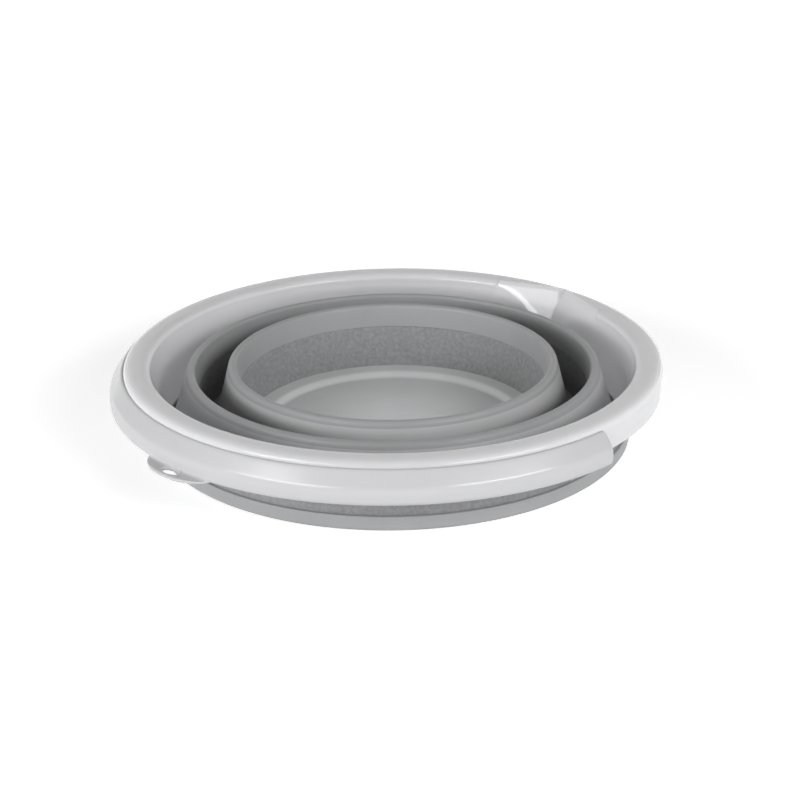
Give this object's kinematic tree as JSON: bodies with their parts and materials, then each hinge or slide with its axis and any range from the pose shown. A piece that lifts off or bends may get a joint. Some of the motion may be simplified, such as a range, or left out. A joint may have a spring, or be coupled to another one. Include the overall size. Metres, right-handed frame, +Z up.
{
  "type": "collapsible bucket",
  "caption": "Round collapsible bucket, folded flat: hard rim with a pouring spout, stiff hoops joined by soft folding walls, a stepped floor and a swinging handle with a hanging tab.",
  "frame": {"origin": "middle of the base's underside, on the surface that the bucket stands on", "axes": "+Z up along the bucket's axis; X along the handle's pivots; the hanging tab is at -Y and the pouring spout at +Y"},
  "size_m": [0.3394, 0.34, 0.05],
  "materials": {
    "rim_plastic": "glossy pale grey moulded plastic",
    "handle_plastic": "glossy near-white moulded plastic",
    "hoop_plastic": "smooth satin mid grey",
    "soft_wall": "matte, finely mottled grey thermoplastic rubber",
    "base_plastic": "glossy mid grey moulded plastic"
  },
  "bodies": {
    "base": {"base_floor": "base_plastic", "base_wall": "soft_wall", "base_lip_hoop": "hoop_plastic", "lower_fold": "soft_wall"},
    "middle": {"middle_foot_hoop": "hoop_plastic", "middle_wall": "soft_wall", "middle_lip_hoop": "hoop_plastic", "upper_fold": "soft_wall"},
    "rim": {"upper_foot_hoop": "hoop_plastic", "upper_wall": "soft_wall", "rim": "rim_plastic"},
    "handle": {"handle": "handle_plastic"}
  },
  "joints": [
    {"name": "lower_unfold", "type": "slide", "parent": "base", "child": "middle", "axis": [0, 0, 1], "range_m": [0, 0.0802], "deforming": ["lower_fold"]},
    {"name": "upper_unfold", "type": "slide", "parent": "middle", "child": "rim", "axis": [0, 0, 1], "range_m": [0, 0.0762], "deforming": ["upper_fold"]},
    {"name": "handle_swing", "type": "hinge", "parent": "rim", "child": "handle", "pos_m": [0, 0, 0.0368], "axis": [-1, 0, 0], "range_deg": [0, 180]}
  ]
}
